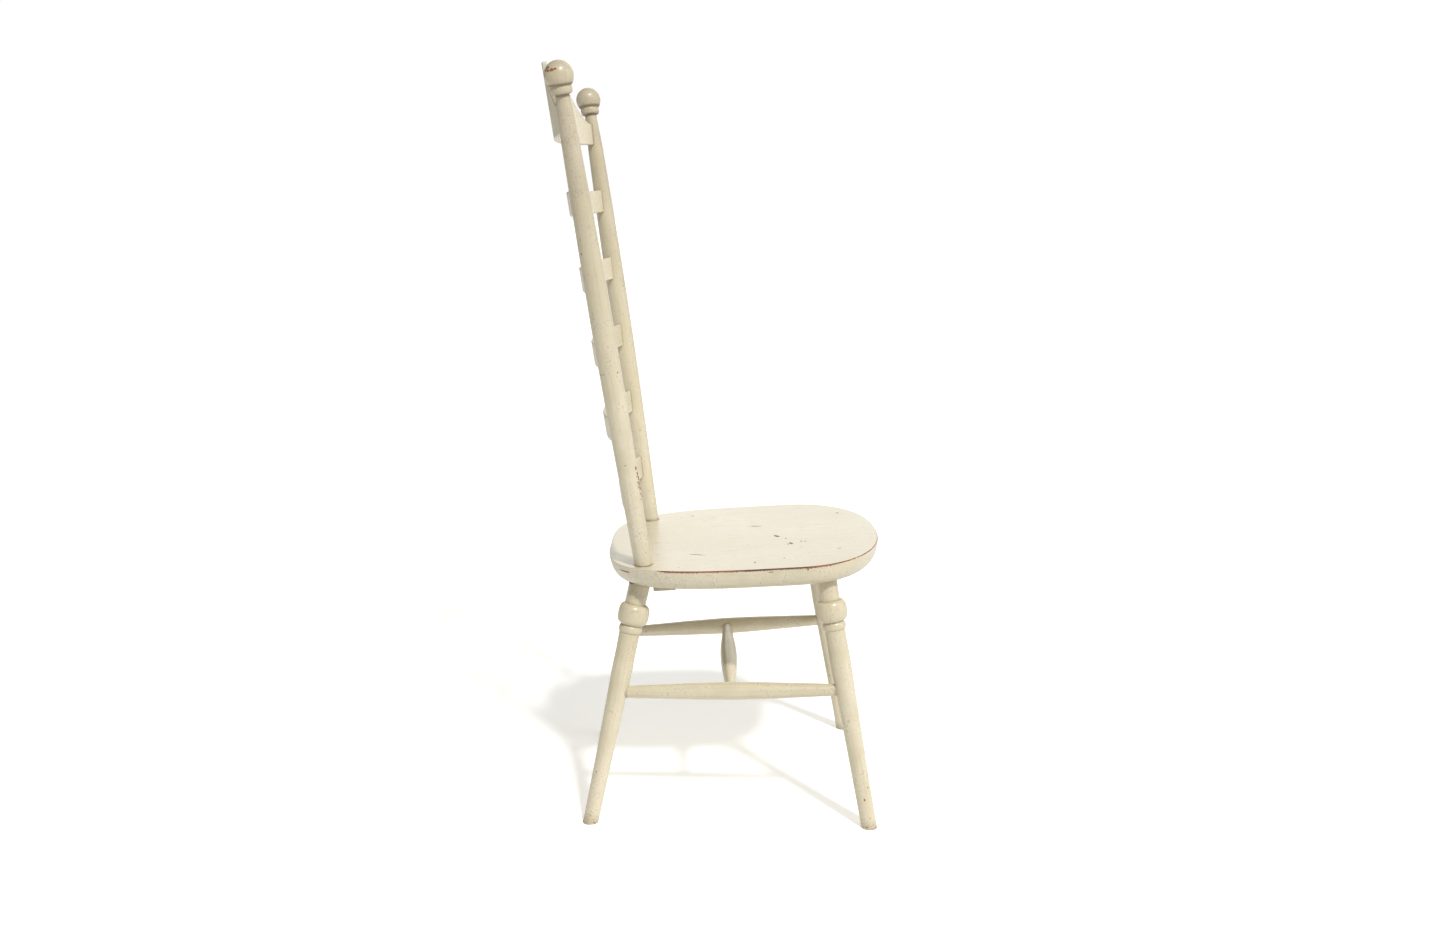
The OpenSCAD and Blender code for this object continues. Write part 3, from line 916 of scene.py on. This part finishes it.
def painted(name, grain, shift, base="cream", chips=(), nicks=(), dashes=0.0, brush=0.36,
            coat=(0.45, 0.14), paintedShade=0.0):
    # brushed oil paint over wood; grain is the local axis that the wood runs along. The last argument
    # darkens the whole piece as painted shade.
    finish = Finish(name)

    def layer(key):
        return finish.noise(where, *paint[key])

    def fibres(key, stretch):
        along, across = paint[stretch]
        drawn = finish.place(shift, tuple(along if axis == grain else across for axis in "xyz"))
        return finish.noise(drawn, *paint[key])

    own = finish.place()
    where = finish.place(shift)
    mottle, cloud, fine, speck = layer("mottle"), layer("cloud"), layer("fine"), layer("speck")
    streak, hair = fibres("streak", "grain"), fibres("hair", "brushed")
    body = finish.mix(finish.ramp(mottle * 0.55 + cloud * 0.45, 0.38, 0.64), paint[base], paint["pale"])
    body = finish.mix(finish.ramp(streak, 0.50, 0.74, 0.0, brush), body, paint["aged"])
    body = finish.mix(finish.ramp(hair, 0.56, 0.74, 0.0, paint["hairShare"]), body, paint["aged"])
    stained = finish.ramp(speck + (mottle - 0.5) * 0.6, 0.58, 0.72, 0.0, paint["stainShare"])
    body = finish.mix(stained, body, paint["stain"])
    if dashes:
        dash = fibres("dash", "lying") + (cloud - 0.5) * 0.5
        body = finish.mix(finish.ramp(dash, 0.66, 0.74, 0.0, dashes), body, paint["dirtAndShade"])
    # Darkening towards the dirt colour: partly real dirt at joints and feet, partly painted shade where a
    # piece stands in shadow.
    dirtAndShade = finish.mark("grimeAndShade") + paintedShade + (mottle - 0.5) * 0.45 + (speck - 0.5) * 0.15
    sootAndShade = finish.ramp(dirtAndShade, 0.10, 0.95, 0.0, paint["sootAndShadeShare"])
    body = finish.mix(sootAndShade, body, paint["dirtAndShade"])
    holes = finish.dots(where, *paint["pinholes"])
    body = finish.mix(holes * paint["holeShare"], body, paint["dent"])
    thin = finish.mark("wear") + (speck - 0.5) * 0.55 + (mottle - 0.5) * 0.35
    rubbedOff = finish.greater(finish.ramp(thin, 0.60, 0.68), finish.dots(where, *paint["flecks"]))
    ragged = (speck - 0.5) * paint["ragged"]
    bare = finish.greater(rubbedOff, finish.marked(own, chips, ragged))
    dent = finish.marked(own, nicks, ragged)
    wood = finish.mix(finish.ramp(streak + (fine - 0.5) * 0.3, 0.35, 0.7), paint["bare"], paint["bareDark"])
    spoilt = finish.greater(bare, dent)
    film = (streak * relief["streak"] + hair * relief["hair"] + fine * relief["fine"]
            + mottle * relief["mottle"])
    height = film - bare * relief["bare"] - dent * relief["dent"] - holes * relief["hole"]
    sheen = finish.ramp(mottle * 0.5 + streak * 0.5, 0.3, 0.7, *paint["rough"])
    finish.surface({
        "Base Color": finish.mix(dent * paint["dentShare"], finish.mix(bare, body, wood), paint["dent"]),
        "Roughness": sheen + finish.greater(spoilt, sootAndShade * 0.6) * paint["spoiltRough"],
        "Normal": finish.bump(height),
        "Coat Weight": (1 - finish.greater(spoilt, sootAndShade)) * coat[0],
        "Coat Roughness": coat[1],
    })
    return finish.material


steel = {
    "clean": (0.42, 0.40, 0.37, 1),
    "rust": (0.20, 0.13, 0.09, 1),
    "stain": (420.0, 4.0, 0.6),          # noise: scale, detail, roughness
    "scratch": (1.0, 2.0, 0.5),
    "stretch": (2600.0, 300.0, 900.0),
}


def dullSteel(name):
    finish = Finish(name)
    stain = finish.noise(finish.place(), *steel["stain"])
    scratch = finish.noise(finish.place(stretch=steel["stretch"]), *steel["scratch"])
    finish.surface({
        "Base Color": finish.mix(finish.ramp(stain, 0.45, 0.68), steel["clean"], steel["rust"]),
        "Roughness": finish.ramp(stain, 0.35, 0.7, 0.34, 0.7),
        "Metallic": finish.ramp(stain, 0.5, 0.72, 1.0, 0.35),
        "Normal": finish.bump(scratch * 0.02 + stain * 0.03),
    })
    return finish.material


def around(radius, spots):
    # marks on a turned piece: height up it, angle round it, size
    return [((radius * math.cos(a), radius * math.sin(a), s), (size, size, size * tall), 0)
            for s, a, size, tall in spots]


postChips = around(0.0165, [
    (0.163, 4.25, 0.0026, 1.3), (0.153, 4.38, 0.0024, 1.4), (0.145, 4.48, 0.0032, 1.2),
    (0.137, 4.36, 0.0026, 1.6), (0.129, 4.47, 0.0030, 1.2), (0.120, 4.36, 0.0020, 1.2),
    (0.111, 4.28, 0.0018, 1.0), (0.150, 4.14, 0.0012, 1.0), (0.140, 4.10, 0.0013, 1.0),
    (0.132, 4.18, 0.0014, 1.0), (0.124, 4.05, 0.0011, 1.0), (0.104, 4.12, 0.0012, 1.0),
    (0.116, 4.52, 0.0020, 1.5), (0.501, 2.33, 0.0016, 1.2), (0.318, 3.90, 0.0012, 1.4),
]) + around(0.0190, [
    (0.7625, 2.98, 0.0030, 0.6), (0.7615, 2.74, 0.0036, 0.7),
    (0.7610, 2.45, 0.0030, 0.6), (0.7615, 2.12, 0.0034, 0.5),
])
postNicks = around(0.0165, [
    (0.605, 2.99, 0.0014, 1.0), (0.317, 2.22, 0.0018, 1.0), (0.318, 2.60, 0.0012, 1.0),
    (0.172, 3.08, 0.0013, 1.0), (0.651, 2.58, 0.0011, 1.0), (0.126, 4.30, 0.0014, 1.0),
    (0.149, 4.30, 0.0012, 1.0),
]) + [((-0.0108, 0.0134, 0.7650), (0.0036, 0.0036, 0.0032), 0)]
leftChips = around(0.0165, [
    (0.212, 1.90, 0.0020, 1.6), (0.226, 2.10, 0.0014, 1.0), (0.433, 5.50, 0.0017, 1.2)])
leftNicks = around(0.0165, [
    (0.564, 4.38, 0.0012, 1.0), (0.491, 5.30, 0.0022, 1.0), (0.162, 3.48, 0.0012, 1.0)])
frontChips = around(0.0140, [
    (0.124, 3.34, 0.0015, 1.0), (0.067, 2.84, 0.0019, 1.0), (0.049, 2.10, 0.0022, 1.3),
    (0.018, 2.40, 0.0018, 1.2), (0.004, 1.80, 0.0024, 0.8),
]) + around(0.0220, [(0.367, 2.57, 0.0018, 1.0)])
rearChips = around(0.0140, [
    (0.014, 3.87, 0.0020, 1.0), (0.085, 3.52, 0.0015, 1.0), (0.003, 4.60, 0.0020, 0.8)])
otherChips = around(0.0140, [
    (0.051, 1.20, 0.0020, 1.3), (0.118, 0.30, 0.0015, 1.0), (0.203, 5.90, 0.0017, 1.5)])
sideNicks = around(0.0110, [
    (0.033, 4.64, 0.0014, 1.0), (0.206, 4.92, 0.0014, 1.0), (0.147, 3.75, 0.0022, 4.0)])
crestTop = crestLow() + crest["middle"]
crestChips = [((-0.034, crest["bow"] + 0.001, crestTop - 0.0195), (0.036, 0.008, 0.0026), 0)]
crestNicks = [((-0.022, crest["bow"] + 0.003, crestTop - 0.002), (0.028, 0.006, 0.0045), 0)]

# chips, nicks and how much painted shade darkens each turned piece as a whole
damage = {
    "leg.front.right": (frontChips, [], 0.0),
    "leg.front.left": (otherChips, [], 0.10),
    "leg.rear.right": (rearChips, [], 0.0),
    "leg.rear.left": (otherChips, [], 0.08),
    "post.right": (postChips, postNicks, 0.0),
    "post.left": (leftChips, leftNicks, 0.05),
    "side.stretcher.right": ([], sideNicks, 0.0),
    "side.stretcher.left": ([], sideNicks, 0.0),
    "cross.stretcher": ([], [], 0.24),
}

# how much clear coat, and how rough it is
coats = {"seat": (0.9, 0.30), "slats": (0.15, 0.2)}

print("finishes")
turnedPaint = {}
for k, (name, (chips, nicks, paintedShade)) in enumerate(damage.items()):
    shift = (1.3 + 0.31 * k, 0.2 + 0.17 * k, 0.6)
    turnedPaint[name] = painted("paint.on." + name, "z", shift, chips=chips, nicks=nicks, paintedShade=paintedShade)
seatPaint = painted("paint.on.seat", "y", (0.3, 0.7, 0.1), chips=seatChips, nicks=seatNicks,
                    dashes=0.22, brush=0.2, coat=coats["seat"])
slatPaint = painted("paint.on.slats", "x", (2.1, 0.4, 0.9), coat=coats["slats"])
crestPaint = painted("paint.on.crest", "x", (2.9, 0.1, 0.3), chips=crestChips, nicks=crestNicks,
                     coat=coats["slats"])
battenPaint = painted("paint.on.batten", "x", (0.9, 1.4, 0.2), base="aged")

print("pieces")
made = makeSeat(seatPaint)
for side, hand in ((-1, "right"), (1, "left")):
    for which, end in enumerate(("front", "rear")):
        name = "leg." + end + "." + hand
        made += makeLeg(name, name.replace(".", "_"), side, which, turnedPaint[name], 1.0 + side + 3 * which)
    name = "post." + hand
    made += makePost(name, "post_" + hand, side, turnedPaint[name], 7.0 + side)
    name = "side.stretcher." + hand
    frontJoint, rearJoint = stretcherEnds(side)
    made += makeStretcher(name, "side_stretcher_" + hand, rearJoint, frontJoint, "side", False,
                          turnedPaint[name], 9.0 + side)
rightMiddle = sum(stretcherEnds(-1), Vector()) / 2
leftMiddle = sum(stretcherEnds(1), Vector()) / 2
made += makeStretcher("cross.stretcher", "cross_stretcher", rightMiddle, leftMiddle, "cross", True,
                      turnedPaint["cross.stretcher"], 11.0)
made += makeSlats(slatPaint)
made += makeCrest(crestPaint)
made += makeBatten(battenPaint)
made += makeScrews(dullSteel("dull.steel"))

for piece, node, slot in made:
    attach(piece, "root")
    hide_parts(node)
print("pieces:", len(made))

floor = {
    "radius": 60.0,
    "sides": 96,
    "tone": (0.90, 0.90, 0.895, 1.0),
    "rough": 0.9,
    "tint": (1.0, 0.99, 0.95, 1.0),
    "lift": 0.42,        # how much brighter the camera sees it
    "glow": 0.20,        # light that it throws up under the chair
    "reach": 1.2,
}


def makeFloor():
    mesh = bmesh.new()
    bmesh.ops.create_circle(mesh, cap_ends=True, segments=floor["sides"], radius=floor["radius"])
    made = bpy.data.objects.new("studio.floor", meshed("studio.floor", mesh))
    scene.collection.objects.link(made)
    finish = Finish("floor.paper")
    seen = finish.node("ShaderNodeLightPath", {}, {}, "Is Camera Ray")
    away = finish.vector("LENGTH", {0: finish.node("ShaderNodeTexCoord", {}, {}, "Object")}, "Value")
    glow = finish.ramp(away, floor["reach"], 0.0, 0.0, floor["glow"])
    share = seen * floor["lift"] + (1 - seen) * glow
    finish.surface({
        "Base Color": floor["tone"],
        "Roughness": floor["rough"],
        "Emission Color": finish.mix(share, (0, 0, 0, 1), floor["tint"]),
        "Emission Strength": 1.0,
    })
    made.data.materials.append(finish.material)


makeFloor()

lamps = {
    "key": {"from": (-0.594, -0.28, 0.755), "spread": 6.0, "power": 2.65, "tint": (1.0, 0.985, 0.96)},
    "side": {"from": (-0.15, -1.0, 0.30), "spread": 50.0, "power": 0.80, "tint": (1.0, 0.99, 0.97)},
    "back": {"from": (0.95, -0.27, 0.36), "spread": 56.0, "power": 0.78, "tint": (1.0, 0.99, 0.945)},
}

studio = {
    "fill": 0.27,
    "fillTint": (1.0, 0.99, 0.93, 1.0),
    "backdrop": 1.02,
    "backdropTint": (1.0, 1.0, 1.0, 1.0),
}


def makeLights():
    for name, lamp in lamps.items():
        data = bpy.data.lights.new(name, "SUN")
        data.angle = math.radians(lamp["spread"])
        data.energy = lamp["power"]
        data.color = lamp["tint"]
        sun = bpy.data.objects.new(name, data)
        scene.collection.objects.link(sun)
        sun.rotation_euler = Vector(lamp["from"]).to_track_quat("Z", "Y").to_euler()


def makeWorld():
    # the camera sees a white backdrop, and the chair is lit by a dimmer one
    scene.world = bpy.data.worlds.new("studio")
    scene.world.use_nodes = True
    nodes = Nodes(scene.world.node_tree)
    nodes.tree.nodes.clear()
    seen = nodes.node("ShaderNodeLightPath", {}, {}, "Is Camera Ray")
    fill = nodes.node("ShaderNodeBackground", {}, {"Color": studio["fillTint"], "Strength": studio["fill"]})
    backdrop = nodes.node("ShaderNodeBackground", {},
                          {"Color": studio["backdropTint"], "Strength": studio["backdrop"]})
    chosen = nodes.node("ShaderNodeMixShader", {}, {0: seen, 1: fill, 2: backdrop})
    nodes.node("ShaderNodeOutputWorld", {}, {0: chosen})


makeLights()
makeWorld()

camera = {
    "at": (-2.2811, 0.0207, 0.9918),
    "yaw": -0.0142,
    "pitch": -0.1959,
    "roll": 0.0008,
    "lens": 34.54,
    "sensor": 36.0,
    "far": 60.0,
}


def makeCamera():
    data = bpy.data.cameras.new("view")
    data.lens = camera["lens"]
    data.sensor_width = camera["sensor"]
    data.sensor_fit = "HORIZONTAL"
    data.clip_end = camera["far"]
    eye = bpy.data.objects.new("view", data)
    scene.collection.objects.link(eye)
    yaw, pitch, roll = camera["yaw"], camera["pitch"], camera["roll"]
    level = math.cos(pitch)
    ahead = Vector((math.cos(yaw) * level, math.sin(yaw) * level, math.sin(pitch)))
    right = Vector((math.sin(yaw), -math.cos(yaw), 0))
    up = right.cross(ahead)
    c, s = math.cos(roll), math.sin(roll)
    right, up = c * right + s * up, c * up - s * right
    turn = Matrix((right, up, -ahead)).transposed().to_4x4()
    eye.matrix_world = Matrix.Translation(camera["at"]) @ turn
    scene.camera = eye


makeCamera()
scene.view_settings.view_transform = "Standard"
print("studio and camera")
